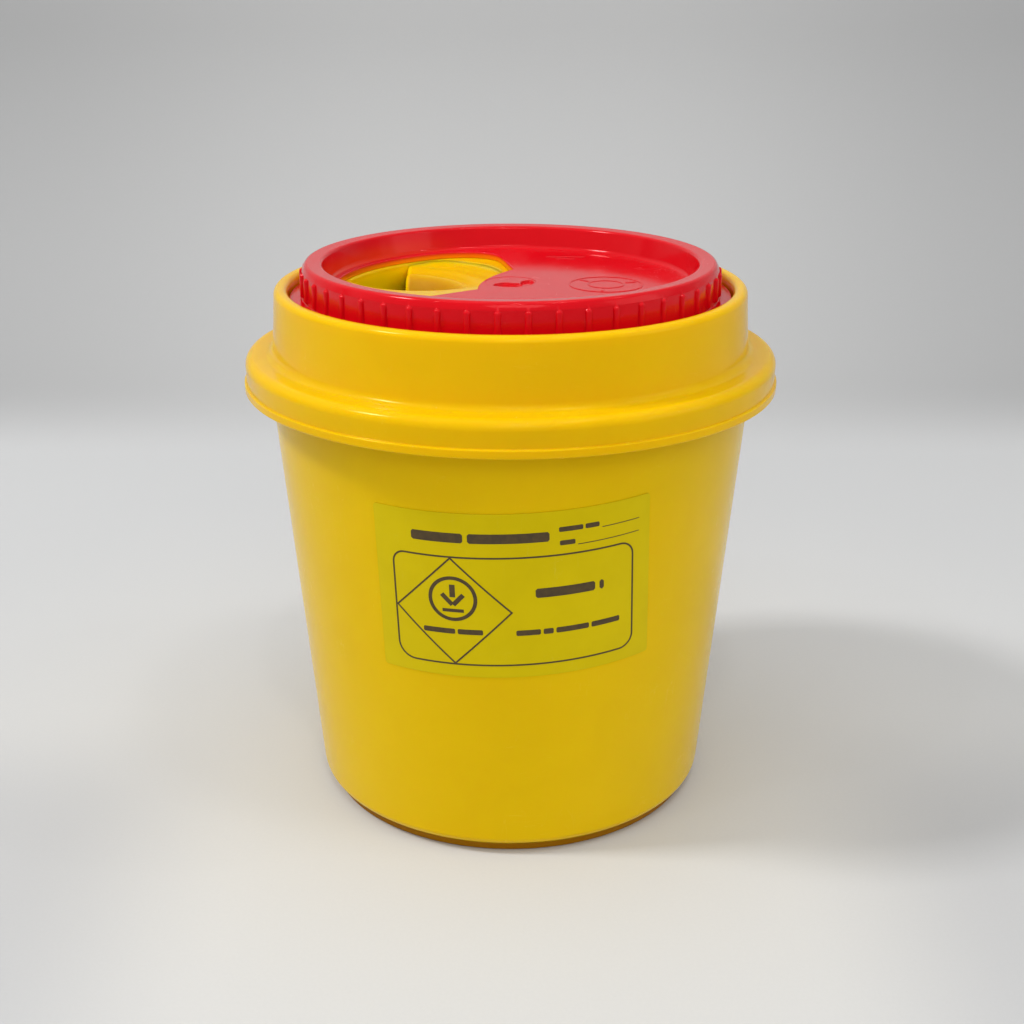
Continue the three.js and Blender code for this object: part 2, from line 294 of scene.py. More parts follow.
def chute_outline():
    """The drop hole: a round hole eased inward where it nears a limit circle about the axis."""
    points = []
    for point in circle(CHUTE_RADIUS, 180, CHUTE_CENTRE):
        over = point.length - CHUTE_LIMIT + 1.0
        if over > 0:
            point = point.normalized() * (CHUTE_LIMIT - math.exp(-over))
        points.append(point)
    return points


def eased_lip(radius, top, lead, step):
    """Steps (outward offset, height) over a hole's quarter-round top edge, after a flat lead."""
    steps = [(radius + lead, top), (radius, top)]
    for degrees in range(step, 91, step):
        angle = math.radians(degrees)
        steps.append((radius * (1 - math.sin(angle)), top - radius * (1 - math.cos(angle))))
    return steps


# ---- mesh building ----


def ring(bm, points, height):
    return [bm.verts.new((p.x * MM, p.y * MM, height * MM)) for p in points]


def bridge(bm, first, second):
    """Faces between two closed rings of equal length, or from a ring to a single point."""
    count = max(len(first), len(second))
    for i in range(count):
        j = (i + 1) % count
        if len(first) == 1:
            bm.faces.new((first[0], second[j], second[i]))
        elif len(second) == 1:
            bm.faces.new((first[i], first[j], second[0]))
        else:
            bm.faces.new((first[i], first[j], second[j], second[i]))


def band(bm, outline, steps, start=None):
    """Rings that follow an outline, each step an (outward offset, height), joined in order."""
    rings = [start] if start else []
    for offset, height in steps:
        rings.append(ring(bm, offset_loop(outline, offset) if offset else outline, height))
    for first, second in zip(rings, rings[1:]):
        bridge(bm, first, second)
    return rings


def revolve(bm, profile, angles, closed, reshape=None):
    """Turns a profile of (radius, height) about the axis; reshape may move a point's radius."""
    rings = []
    for radius, height in profile:
        if radius < 1e-4:
            rings.append([bm.verts.new((0, 0, height * MM))])
            continue
        verts = []
        for angle in angles:
            r = reshape(radius, height, angle) if reshape else radius
            verts.append(bm.verts.new((r * MM * math.cos(angle), r * MM * math.sin(angle), height * MM)))
        rings.append(verts)
    for first, second in zip(rings, rings[1:]):
        bridge(bm, first, second)
    if closed:
        bridge(bm, rings[-1], rings[0])
    return rings


def plate(bm, loops):
    """A flat face region bounded by an outer ring and any holes."""
    edges = []
    for loop in loops:
        for i, vert in enumerate(loop):
            other = loop[(i + 1) % len(loop)]
            edges.append(bm.edges.get((vert, other)) or bm.edges.new((vert, other)))
    bmesh.ops.triangle_fill(bm, use_beauty=True, use_dissolve=False, edges=edges)


def slab(bm, top, under):
    """A closed plate from two grids of vertices, one over the other."""
    last, rows = len(top) - 1, len(top[0]) - 1
    for i in range(last):
        for j in range(rows):
            quad = ((i, j), (i + 1, j), (i + 1, j + 1), (i, j + 1))
            bm.faces.new([top[a][b] for a, b in quad])
            bm.faces.new([under[a][b] for a, b in reversed(quad)])
    border = [(i, 0) for i in range(last + 1)] + [(last, j) for j in range(1, rows + 1)]
    border += [(i, rows) for i in range(last - 1, -1, -1)] + [(0, j) for j in range(rows - 1, 0, -1)]
    for (i, j), (k, m) in zip(border, border[1:] + border[:1]):
        bm.faces.new((top[i][j], under[i][j], under[k][m], top[k][m]))


def piece(name, bm, body, nodes, material):
    """Makes the mesh an object that rides on a body and stands for the named frame nodes."""
    bmesh.ops.recalc_face_normals(bm, faces=bm.faces)
    mesh = bpy.data.meshes.new(name)
    bm.to_mesh(mesh)
    bm.free()
    mesh.polygons.foreach_set("use_smooth", [True] * len(mesh.polygons))
    mesh.set_sharp_from_angle(angle=SHARP_ANGLE)
    made = bpy.data.objects.new(name, mesh)
    bpy.context.scene.collection.objects.link(made)
    made.data.materials.append(material)
    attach(made, body)
    if nodes:
        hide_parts(*nodes)
    return made


# ---- shader node groups ----


class Nodes:
    """Short ways to add and wire nodes in one tree."""

    def __init__(self, tree):
        self.tree = tree

    def add(self, kind, values=None, **settings):
        node = self.tree.nodes.new(kind)
        for key, value in settings.items():
            setattr(node, key, value)
        for key, value in (values or {}).items():
            if isinstance(value, bpy.types.NodeSocket):
                self.wire(value, node.inputs[key])
            else:
                node.inputs[key].default_value = value
        return node

    def wire(self, value, socket):
        self.tree.links.new(value, socket)

    def math(self, operation, a, b=0.0, c=0.0, clamp=False):
        values = {0: a, 1: b, 2: c}
        return self.add("ShaderNodeMath", values, operation=operation, use_clamp=clamp).outputs[0]

    def remap(self, value, low, high, to_low=0.0, to_high=1.0):
        values = {"Value": value, "From Min": low, "From Max": high, "To Min": to_low, "To Max": to_high}
        return self.add("ShaderNodeMapRange", values, interpolation_type="SMOOTHSTEP").outputs["Result"]

    def mix(self, factor, a, b, blend="MIX"):
        node = self.add("ShaderNodeMix", {"Factor": factor}, data_type="RGBA", blend_type=blend)
        for socket, value in ((node.inputs[6], a), (node.inputs[7], b)):
            if isinstance(value, bpy.types.NodeSocket):
                self.wire(value, socket)
            else:
                socket.default_value = value
        return node.outputs[2]

    def place(self, scale=(1, 1, 1)):
        """Object coordinates in millimetres, stretched by a scale."""
        coords = self.add("ShaderNodeTexCoord").outputs["Object"]
        in_mm = tuple(s / MM for s in scale)
        return self.add("ShaderNodeMapping", {"Vector": coords, "Scale": in_mm}).outputs["Vector"]

    def noise(self, vector, scale, detail=2.0, roughness=0.5, distortion=0.0):
        values = {"Vector": vector, "Scale": scale, "Detail": detail, "Roughness": roughness,
                  "Distortion": distortion}
        return self.add("ShaderNodeTexNoise", values).outputs["Fac"]


def new_group(name, inputs, outputs):
    tree = bpy.data.node_groups.new(name, "ShaderNodeTree")
    for label, default in inputs:
        socket = tree.interface.new_socket(label, in_out="INPUT", socket_type="NodeSocketFloat")
        socket.default_value = default
    for label in outputs:
        tree.interface.new_socket(label, in_out="OUTPUT", socket_type="NodeSocketFloat")
    nodes = Nodes(tree)
    return tree, nodes, nodes.add("NodeGroupInput").outputs, nodes.add("NodeGroupOutput").inputs


def moulded_skin_group():
    """Flow ripple, fine grain and a slow colour mottle of injection-moulded plastic."""
    tree, n, given, out = new_group(
        "moulded_skin", [("Ripple Size", 14.0), ("Grain Size", 0.35), ("Grain Amount", 0.25)],
        ["Height", "Mottle"])
    spot = n.place()
    ripple = n.noise(spot, n.math("DIVIDE", 1.0, given["Ripple Size"]), 1.0, 0.4)
    grain = n.noise(spot, n.math("DIVIDE", 1.0, given["Grain Size"]), 2.0, 0.55)
    height = n.math("MULTIPLY_ADD", grain, given["Grain Amount"], ripple)
    n.wire(height, out["Height"])
    n.wire(n.noise(spot, 0.03, 3.0, 0.6, 0.8), out["Mottle"])
    return tree


def edge_wear_group():
    """A mask of rubbed edges: where a rounded normal leaves the true one, broken up by noise."""
    tree, n, given, out = new_group("edge_wear", [("Width", 0.9), ("Breakup", 0.55)], ["Mask"])
    soft = n.add("ShaderNodeBevel", {"Radius": n.math("MULTIPLY", given["Width"], MM)}, samples=4)
    sharp = n.add("ShaderNodeNewGeometry").outputs["Normal"]
    agree = n.add("ShaderNodeVectorMath", {0: soft.outputs["Normal"], 1: sharp}, operation="DOT_PRODUCT")
    edge = n.remap(agree.outputs["Value"], 0.995, 0.9)
    blotch = n.noise(n.place(), 0.35, 4.0, 0.65)
    patches = n.remap(blotch, given["Breakup"], n.math("ADD", given["Breakup"], 0.12))
    n.wire(n.math("MULTIPLY", edge, patches, clamp=True), out["Mask"])
    return tree


def handling_scuffs_group():
    """Hairline scratches in two directions, gathered in patches."""
    tree, n, given, out = new_group("handling_scuffs", [("Spacing", 6.0), ("Amount", 0.5)], ["Mask"])
    lines = []
    for stretch in ((1.0, 1.0, 0.05), (0.07, 0.8, 1.0)):
        waves = n.noise(n.place(stretch), n.math("DIVIDE", 1.0, given["Spacing"]), 3.0, 0.5, 0.4)
        off_line = n.math("ABSOLUTE", n.math("SUBTRACT", waves, 0.5))
        lines.append(n.remap(off_line, 0.0035, 0.0))
    patches = n.remap(n.noise(n.place(), 0.045, 2.0, 0.6), n.math("SUBTRACT", 0.85, given["Amount"]), 0.9)
    both = n.math("MAXIMUM", lines[0], lines[1])
    n.wire(n.math("MULTIPLY", both, patches, clamp=True), out["Mask"])
    return tree


def settled_dust_group():
    """Fine specks that lie on faces which look upward."""
    tree, n, given, out = new_group("settled_dust", [("Speck Size", 0.7), ("Amount", 0.3)], ["Mask"])
    normal = n.add("ShaderNodeNewGeometry").outputs["Normal"]
    up = n.remap(n.add("ShaderNodeSeparateXYZ", {0: normal}).outputs["Z"], 0.2, 0.95, 0.15, 1.0)
    density = n.math("DIVIDE", 0.4, given["Speck Size"])
    cells = n.add("ShaderNodeTexVoronoi", {"Vector": n.place(), "Scale": density})
    dots = n.remap(cells.outputs["Distance"], 0.09, 0.03)
    chosen = n.remap(n.add("ShaderNodeSeparateColor", {0: cells.outputs["Color"]}).outputs[0],
                     n.math("SUBTRACT", 1.0, given["Amount"]), 1.0)
    n.wire(n.math("MULTIPLY", n.math("MULTIPLY", dots, chosen), up, clamp=True), out["Mask"])
    return tree


SKIN = moulded_skin_group()
WEAR = edge_wear_group()
SCUFFS = handling_scuffs_group()
DUST = settled_dust_group()


def use(n, tree, **values):
    node = n.add("ShaderNodeGroup", node_tree=tree)
    for key, value in values.items():
        node.inputs[key.replace("_", " ")].default_value = value
    return node.outputs


def blank_material(name):
    material = bpy.data.materials.new(name)
    material.use_nodes = True
    material.node_tree.nodes.clear()
    n = Nodes(material.node_tree)
    shader = n.add("ShaderNodeBsdfPrincipled")
    n.add("ShaderNodeOutputMaterial", {"Surface": shader.outputs[0]})
    return material, n, shader


def set_constants(shader, **values):
    for key, value in values.items():
        shader.inputs[key.replace("_", " ")].default_value = value


def moulded_plastic(name, colour, deep, worn, gloss, depth, glow, shine, tint, local):
    """Glossy dyed plastic: gloss is its roughness, depth how far light sinks in and glow how much does.

    local is a function that paints light or shade into the colour of one part of the piece and returns it
    with a dull mask.
    """
    material, n, shader = blank_material(name)
    skin = use(n, SKIN)
    wear = use(n, WEAR)["Mask"]
    scuffs = use(n, SCUFFS)["Mask"]
    dust = use(n, DUST)["Mask"]
    tone = n.mix(n.remap(skin["Mottle"], 0.3, 0.7), deep, colour)
    # local paints light or shade into one part of the colour.
    tone, dull = local(n, tone)
    rubbed = n.mix(n.math("MULTIPLY", wear, 0.45), tone, worn)
    scratched = n.mix(n.math("MULTIPLY", scuffs, 0.25), rubbed, worn)
    dusty = n.mix(n.math("MULTIPLY", dust, 0.5), scratched, DUST_COLOUR)
    n.wire(dusty, shader.inputs["Base Color"])
    marks = n.math("MULTIPLY_ADD", scuffs, 0.22, n.math("MULTIPLY", wear, 0.14))
    slow = n.remap(skin["Mottle"], 0.3, 0.7, gloss - 0.025, gloss + 0.035)
    dulled = n.math("MULTIPLY_ADD", dull, 0.35, marks)
    rough = n.math("ADD", n.math("MULTIPLY_ADD", dust, 0.3, dulled), slow, clamp=True)
    n.wire(rough, shader.inputs["Roughness"])
    bump = n.add("ShaderNodeBump", {"Height": skin["Height"], "Strength": 0.22, "Distance": 0.00006})
    n.wire(bump.outputs[0], shader.inputs["Normal"])
    set_constants(shader, IOR=1.49, Subsurface_Weight=glow, Subsurface_Scale=depth * MM,
                  Subsurface_Radius=(1.0, 0.55, 0.12), Specular_IOR_Level=shine, Specular_Tint=tint)
    return material


def spot_in_mm(n):
    return n.add("ShaderNodeSeparateXYZ", {0: n.place()}).outputs


def flat_distance(n, spot, centre):
    """Distance from a point (x, y), seen from above."""
    flat = n.add("ShaderNodeCombineXYZ", {0: spot["X"], 1: spot["Y"]}).outputs[0]
    point = n.add("ShaderNodeCombineXYZ", {0: centre[0], 1: centre[1]}).outputs[0]
    return n.add("ShaderNodeVectorMath", {0: flat, 1: point}, operation="DISTANCE").outputs["Value"]


def shaded_foot(n, tone):
    """Painted shade: deeper colour on the foot ring and the turn of the base, which hardly see the light."""
    low = n.remap(spot_in_mm(n)["Z"], TUB_CORNER_Z + 0.5, TUB_CORNER_Z - 0.9)
    return n.mix(low, tone, FOOT_PAINTED_SHADE), low


def paint_chute_light_and_shade(n, tone):
    """Painted light and shade in the chute: a painted glow on the chute's wall, and painted shade with
    duller plastic on the rolled part of its shelf.
    """
    spot = spot_in_mm(n)
    inside = n.remap(flat_distance(n, spot, CHUTE_CENTRE), CHUTE_RADIUS + 0.6, CHUTE_RADIUS + 0.3)
    below = n.remap(spot["Z"], PLATEAU_Z - 0.6, PLATEAU_Z - 2.0)
    over = n.remap(flat_distance(n, spot, RAMP_FOCUS), RAMP_EDGE + 2.5, RAMP_EDGE - 4.5)
    right = n.remap(spot["X"], RAMP_LEFT_X + 0.2, RAMP_LEFT_X + 2.0)
    roll = n.math("MULTIPLY", n.math("MULTIPLY", over, below), right)
    wall = n.math("MULTIPLY", inside, below)
    # Painted glow on the chute's wall, in place of light through the translucent plastic.
    with_painted_glow = n.mix(n.math("MULTIPLY", wall, n.math("SUBTRACT", 1.0, right)), tone, CHUTE_WALL_PAINTED_GLOW)
    # Painted shade on the rolled part of the shelf; the same mask also makes it duller.
    return n.mix(n.math("MULTIPLY", roll, 0.9), with_painted_glow, RAMP_ROLL_PAINTED_SHADE), roll


def paint_window_glow_and_reflection(n, tone):
    """Painted light: a painted glow of the yellow behind the window on its thin cut edges, and a painted
    reflection of that yellow on the rim beside it.
    """
    spot = spot_in_mm(n)
    radius = flat_distance(n, spot, (0.0, 0.0))
    low = n.remap(spot["Z"], DISH_Z - 0.1, DISH_Z - DISH_THICKNESS + 0.2)
    inside = n.math("MULTIPLY", n.remap(radius, 63.0, 62.0),
                    n.remap(radius, HEAD_RADIUS - 0.1, HEAD_RADIUS + 0.3))
    # Painted glow on the window's thin cut edges.
    edge = n.mix(n.math("MULTIPLY", low, inside), tone, THIN_EDGE_PAINTED_GLOW)
    # Painted reflection of the yellow on the rim beside the window.
    beside = n.math("MULTIPLY", n.remap(spot["X"], -15.0, -50.0), n.remap(radius, 67.0, 65.0))
    above = n.remap(spot["Z"], RIM_TOP - 1.0, DISH_Z + 1.5)
    rim_reflection_mask = n.math("MULTIPLY", n.math("MULTIPLY", beside, above), n.remap(spot["Z"], DISH_Z, DISH_Z + 0.3))
    return n.mix(rim_reflection_mask, edge, RIM_PAINTED_REFLECTION), 0.0


def label_film():
    """Thin printed film: a dull lemon ground with fibre speckle, scuffs and faint creases."""
    material, n, shader = blank_material("label_film")
    spot = n.place()
    fibre = n.noise(spot, 2.6, 4.0, 0.7)
    blotch = n.noise(spot, 0.06, 3.0, 0.6)
    ground = n.mix(n.remap(blotch, 0.3, 0.7), (0.60, 0.455, 0.001, 1), (0.63, 0.48, 0.001, 1))
    speckled = n.mix(n.remap(fibre, 0.62, 0.8, 0.0, 0.12), ground, (0.40, 0.28, 0.004, 1))
    scuffs = use(n, SCUFFS, Spacing=4.0, Amount=0.45)["Mask"]
    worn = n.mix(n.math("MULTIPLY", scuffs, 0.25), speckled, (0.66, 0.58, 0.15, 1))
    n.wire(worn, shader.inputs["Base Color"])
    rough = n.math("MULTIPLY_ADD", scuffs, 0.15, n.remap(blotch, 0.3, 0.7, 0.40, 0.47))
    n.wire(rough, shader.inputs["Roughness"])
    wrinkle = n.math("MULTIPLY_ADD", fibre, 0.12, n.noise(spot, 0.09, 2.0, 0.5))
    bump = n.add("ShaderNodeBump", {"Height": wrinkle, "Strength": 0.4, "Distance": 0.0002})
    n.wire(bump.outputs[0], shader.inputs["Normal"])
    set_constants(shader, IOR=1.46, Specular_IOR_Level=0.3, Specular_Tint=(1.0, 0.85, 0.15, 1))
    return material


def label_ink():
    """Dark brown printing ink, a little uneven, with pinholes that let the film show."""
    material, n, shader = blank_material("label_ink")
    spot = n.place()
    pinholes = n.remap(n.noise(spot, 5.0, 2.0, 0.5), 0.70, 0.78)
    density = n.noise(spot, 0.5, 3.0, 0.6)
    ink = n.mix(n.remap(density, 0.3, 0.7), (0.050, 0.028, 0.004, 1), (0.075, 0.043, 0.006, 1))
    pierced = n.mix(n.math("MULTIPLY", pinholes, 0.5), ink, (0.30, 0.22, 0.005, 1))
    n.wire(pierced, shader.inputs["Base Color"])
    n.wire(n.remap(density, 0.3, 0.7, 0.42, 0.52), shader.inputs["Roughness"])
    bump = n.add("ShaderNodeBump", {"Height": density, "Strength": 0.3, "Distance": 0.00003})
    n.wire(bump.outputs[0], shader.inputs["Normal"])
    set_constants(shader, IOR=1.45)
    return material


DUST_COLOUR = (0.72, 0.69, 0.62, 1)
# Painted shade on the foot ring and the turn of the base.
FOOT_PAINTED_SHADE = (0.30, 0.12, 0.001, 1)
# Painted glow for the chute's wall and painted shade for the shelf's rolled part.
CHUTE_WALL_PAINTED_GLOW = (1.0, 0.58, 0.001, 1)
RAMP_ROLL_PAINTED_SHADE = (0.46, 0.205, 0.001, 1)
# Painted glow for the window's thin edges and painted reflection for the rim beside it.
THIN_EDGE_PAINTED_GLOW = (0.95, 0.27, 0.002, 1)
RIM_PAINTED_REFLECTION = (0.66, 0.022, 0.001, 1)

TUB_PLASTIC = moulded_plastic(
    "tub_plastic", colour=(0.76, 0.485, 0.001, 1), deep=(0.74, 0.468, 0.001, 1),
    worn=(0.80, 0.58, 0.05, 1), gloss=0.19, depth=4.0, glow=0.30, shine=0.15,
    tint=(1.0, 0.85, 0.3, 1), local=shaded_foot)
LID_PLASTIC = moulded_plastic(
    "lid_plastic", colour=(0.76, 0.452, 0.001, 1), deep=(0.74, 0.434, 0.001, 1),
    worn=(0.84, 0.58, 0.05, 1), gloss=0.15, depth=5.0, glow=0.55, shine=0.15,
    tint=(1.0, 0.85, 0.35, 1), local=paint_chute_light_and_shade)
DIAL_PLASTIC = moulded_plastic(
    "dial_plastic", colour=(0.62, 0.001, 0.007, 1), deep=(0.59, 0.001, 0.006, 1),
    worn=(0.70, 0.05, 0.05, 1), gloss=0.13, depth=1.0, glow=0.08, shine=0.46,
    tint=(1.0, 0.28, 0.28, 1), local=paint_window_glow_and_reflection)
LABEL_FILM = label_film()
LABEL_INK = label_ink()

# ---- pieces ----


def tub_radius(z):
    return TUB_BASE_RADIUS + TUB_FLARE * (z - TUB_BASE_Z)


def tub_moulding():
    under_brim = BRIM_TOP - BRIM_EDGE
    profile = rounded([
        [0, 3.3],
        [1.6, 3.3, 0.4],
        [2.2, 2.8, 0.3],
        [38, 2.8, 0.3],
        [38.4, 3.1, 0.2],
        [40.6, 3.1, 0.2],
        [41, 2.8, 0.3],
        [FOOT_INNER_RADIUS, 2.8, 0.9],
        [FOOT_INNER_RADIUS + 0.5, 0, 0.6],
        [FOOT_OUTER_RADIUS - 0.2, 0, 0.8],
        [FOOT_OUTER_RADIUS, TUB_CORNER_Z, 0.5],
        [tub_radius(TUB_CORNER_Z), TUB_CORNER_Z, TUB_CORNER],
        [tub_radius(under_brim), under_brim, 1.0],
        [BRIM_RADIUS - BRIM_EDGE, under_brim, 0.6],
        [BRIM_RADIUS - BRIM_EDGE, BRIM_TOP - BRIM_DROP, 0.5],
        [BRIM_RADIUS, BRIM_TOP - BRIM_DROP, 0.5],
        [BRIM_RADIUS, BRIM_TOP, 1.2],
        [tub_radius(BRIM_TOP) - TUB_WALL, BRIM_TOP, 0.8],
        [tub_radius(TUB_FLOOR_Z) - TUB_WALL, TUB_FLOOR_Z, 3.5],
        [0, TUB_FLOOR_Z],
    ], closed=False)
    bm = bmesh.new()
    revolve(bm, profile, even_angles(ROUND_SEGMENTS), closed=False)
    return piece("tub_moulding", bm, "tub", ["container_body"], TUB_PLASTIC)


def ramp_height(x, y):
    """The shelf inside the chute: a flat crescent with two soft ridges that rolls into a steep fall."""
    from_focus = math.hypot(x - RAMP_FOCUS[0], y - RAMP_FOCUS[1])
    over = max(0.0, RAMP_EDGE - from_focus)
    rolled = 0.16 * min(over, 6.0) ** 2 + 1.92 * max(0.0, over - 6.0)
    ridges = sum(rise * math.exp(-((from_focus - at) / RAMP_RIDGE_WIDTH) ** 2) for at, rise in RAMP_RIDGES)
    return RAMP_TOP + 0.03 * (from_focus - RAMP_EDGE) - rolled + ridges


def ramp_solid(bm):
    """The shelf as a closed plate: arcs about its focus, from its foot out into the chute's wall."""
    focus, centre = Vector(RAMP_FOCUS), Vector(CHUTE_CENTRE)
    reach = CHUTE_RADIUS + RAMP_EMBED
    limit = CHUTE_LIMIT + RAMP_EMBED
    to_centre = centre - focus
    gap = to_centre.length
    toward = math.atan2(to_centre.y, to_centre.x)
    focus_turn = math.atan2(focus.y, focus.x)
    foot = RAMP_EDGE - RAMP_ROLL
    rows, columns = 64, 72
    top, under = [], []
    for i in range(rows + 1):
        top.append([])
        under.append([])
        distance = foot + (gap + reach - RAMP_EMBED / 2 - foot) * i / rows
        half = math.acos((distance ** 2 + gap ** 2 - reach ** 2) / (2 * distance * gap))
        past_limit = (limit ** 2 - focus.length_squared - distance ** 2) / (2 * distance * focus.length)
        free_side = math.acos((RAMP_LEFT_X - focus.x) / distance)
        start = min(free_side, toward + half, focus_turn - math.acos(min(1.0, past_limit)))
        for j in range(columns + 1):
            angle = start + (toward - half - start) * (j / columns) ** 1.4
            x, y = focus.x + distance * math.cos(angle), focus.y + distance * math.sin(angle)
            from_wall = min(reach - math.hypot(x - centre.x, y - centre.y), limit - math.hypot(x, y))
            z = ramp_height(x, y) + RAMP_COVE_RISE * math.exp(-max(0.0, from_wall) / RAMP_COVE_WIDTH)
            round_off = max(0.0, RAMP_SIDE_ROUND - (x - RAMP_LEFT_X))
            z -= RAMP_SIDE_ROUND - math.sqrt(max(0.0, RAMP_SIDE_ROUND ** 2 - round_off ** 2))
            top[-1].append(bm.verts.new((x * MM, y * MM, z * MM)))
            under[-1].append(bm.verts.new((x * MM, y * MM, (z - RAMP_THICKNESS) * MM)))
    slab(bm, top, under)


def lid_moulding():
    bead_top = SKIRT_BASE + 3.0
    under_shoulder = BRIM_TOP + 0.3
    channel_under = CHANNEL_Z - LID_WALL
    plateau_under = PLATEAU_Z - LID_WALL
    profile = rounded([
        [PLATEAU_RADIUS - 2, PLATEAU_Z],
        [PLATEAU_RADIUS, PLATEAU_Z, 0.9],
        [PLATEAU_RADIUS + 0.4, CHANNEL_Z, 0.8],
        [CHANNEL_RADIUS, CHANNEL_Z, 1.0],
        [CHANNEL_RADIUS, COLLAR_TOP, 2.2],
        [COLLAR_TOP_RADIUS, COLLAR_TOP, 2.2],
        [COLLAR_BASE_RADIUS, SHOULDER_Z, 2.8],
        [SHOULDER_RADIUS, SHOULDER_Z, 3.3],
        [SHOULDER_RADIUS - 0.35, bead_top + 0.1, 0.3],
        [BEAD_RADIUS, bead_top - 0.1, 0.4],
        [BEAD_RADIUS, SKIRT_BASE, 0.6],
        [SKIRT_INNER_RADIUS, SKIRT_BASE, 0.8],
        [SKIRT_INNER_RADIUS, under_shoulder, 0.6],
        [PLUG_RADIUS, under_shoulder, 0.6],
        [PLUG_RADIUS - 0.4, PLUG_BASE, 0.7],
        [PLUG_RADIUS - LID_WALL, PLUG_BASE, 0.7],
        [COLLAR_TOP_RADIUS - LID_WALL, channel_under, 2.0],
        [PLATEAU_RADIUS - 1.6, channel_under, 0.8],
        [PLATEAU_RADIUS - 2, plateau_under],
    ], closed=False)
    bm = bmesh.new()
    rings = revolve(bm, profile, even_angles(ROUND_SEGMENTS), closed=False)
    wall = eased_lip(1.0, PLATEAU_Z, 0.3, 10)
    wall += [(0, PLATEAU_Z - 1.2), (0, CHUTE_BASE + 0.6), (0.3, CHUTE_BASE)]
    wall += [(CHUTE_WALL - 0.3, CHUTE_BASE), (CHUTE_WALL, CHUTE_BASE + 0.6), (CHUTE_WALL, plateau_under)]
    hole_rings = band(bm, chute_outline(), wall)
    shaft = band(bm, circle(SHAFT_HOLE, 72), [(0, PLATEAU_Z), (0, plateau_under)])
    plate(bm, [rings[0], hole_rings[0], shaft[0]])
    plate(bm, [rings[-1], hole_rings[-1], shaft[-1]])
    ramp_solid(bm)
    return piece("lid_moulding", bm, "lid", ["lid"], LID_PLASTIC)


def rib_angles():
    """Angles round the dial, gathered where the grip ribs rise."""
    pitch = 2 * math.pi / RIB_COUNT
    steps = [0.0, 0.3, 0.55, 0.8, 1.0, 1.15, 1.4, 3.0]
    offsets = [-s / DIAL_WALL for s in reversed(steps[1:])] + [s / DIAL_WALL for s in steps]
    offsets = [-pitch / 2] + offsets
    angles = []
    for i in range(RIB_COUNT):
        middle = -math.pi / 2 + RIB_PHASE + (i + 0.5) * pitch
        angles.extend(middle + offset for offset in offsets)
    return angles


def ribbed(radius, height, angle):
    """The outer wall's radius with the grip ribs added."""
    if abs(radius - DIAL_WALL) > 0.01 or height > RIB_TOP or height < FLANGE_Z + 0.9:
        return radius
    pitch = 2 * math.pi / RIB_COUNT
    turn = (angle + math.pi / 2 - RIB_PHASE) % pitch - pitch / 2
    across = abs(turn) * DIAL_WALL
    past_end = max(0.0, height - (RIB_TOP - RIB_HALF_WIDTH))
    away = math.hypot(across, past_end) / RIB_HALF_WIDTH
    if away >= 1:
        return radius
    return DIAL_WALL + RIB_PROUD * math.sqrt(1 - away ** 2) * (1.25 - 0.25 * math.sqrt(1 - away ** 2))


def raised_ring(bm, centre, radius, width, height):
    """A low raised ring sunk a little into the dish."""
    outline = circle(radius, 96, centre)
    half = width / 2
    steps = [(-half, DISH_Z - 0.3), (-half, DISH_Z + height * 0.6), (-half * 0.4, DISH_Z + height)]
    steps += [(half * 0.4, DISH_Z + height), (half, DISH_Z + height * 0.6), (half, DISH_Z - 0.3)]
    rings = band(bm, outline, steps)
    bridge(bm, rings[-1], rings[0])


def raised_bar(bm, centre, length, width, height, angle=0.0):
    """A low raised bar with round ends."""
    half = length / 2 - width / 2
    points = []
    for side, start in ((1, -90), (-1, 90)):
        for i in range(13):
            a = math.radians(start + 180 * i / 12)
            points.append(Vector((side * half + width / 2 * math.cos(a), width / 2 * math.sin(a))))
    placed = [spin(p, angle) + Vector(centre) for p in points]
    rings = band(bm, placed, [(0, DISH_Z - 0.3), (0, DISH_Z + height * 0.5), (-0.15, DISH_Z + height)])
    plate(bm, [rings[-1]])
    plate(bm, [rings[0]])


